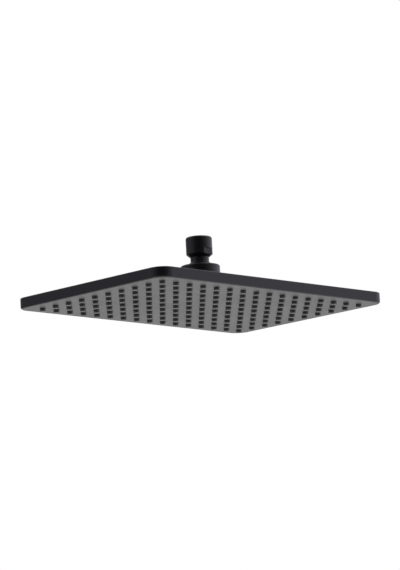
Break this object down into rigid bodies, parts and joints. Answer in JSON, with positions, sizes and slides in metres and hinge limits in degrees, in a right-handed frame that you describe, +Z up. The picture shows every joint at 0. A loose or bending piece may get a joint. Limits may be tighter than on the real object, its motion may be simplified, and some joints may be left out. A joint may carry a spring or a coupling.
{
  "type": "overhead shower head",
  "caption": "Rectangular overhead shower head with a grid of soft nozzles, a crowned back and a ball joint under a threaded inlet connector.",
  "frame": {"origin": "centre of the inlet thread's mouth, on the top face of the connector", "axes": "+Z up the shower arm, out of the inlet; X along the plate's long side; Y along its short side"},
  "size_m": [0.303, 0.203, 0.0708],
  "materials": {
    "black_coated_brass": "satin black coating over turned brass",
    "black_shell": "satin black moulded ABS",
    "black_face": "satin charcoal moulded ABS",
    "black_silicone": "soft matte silicone",
    "black_rubber": "matte rubber",
    "white_acetal": "smooth acetal",
    "bare_brass": "turned brass",
    "steel_mesh": "woven stainless wire",
    "steel_screw": "stainless steel"
  },
  "bodies": {
    "connector": {"inlet_connector": "black_coated_brass", "ball_stem": "black_coated_brass", "inlet_washer": "black_rubber", "filter_screen": "steel_mesh", "flow_regulator": "white_acetal"},
    "cup": {"ball_cup": "white_acetal"},
    "seat": {"seat_ring": "white_acetal", "ball_seal": "black_rubber"},
    "head": {"collar_nut": "black_coated_brass", "swivel_socket": "bare_brass", "socket_gasket": "black_rubber", "socket_screws": "steel_screw", "back_shell": "black_shell", "face_plate": "black_face", "nozzle_mat": "black_silicone"}
  },
  "joints": [
    {"name": "tilt_x", "type": "hinge", "parent": "connector", "child": "cup", "pos_m": [0, 0, -0.03522], "axis": [1, 0, 0], "range_deg": [-15, 15]},
    {"name": "tilt_y", "type": "hinge", "parent": "cup", "child": "seat", "pos_m": [0, 0, -0.03522], "axis": [0, 1, 0], "range_deg": [-15, 15]},
    {"name": "swivel", "type": "hinge", "parent": "seat", "child": "head", "pos_m": [0, 0, -0.03522], "axis": [0, 0, 1], "continuous": true}
  ]
}
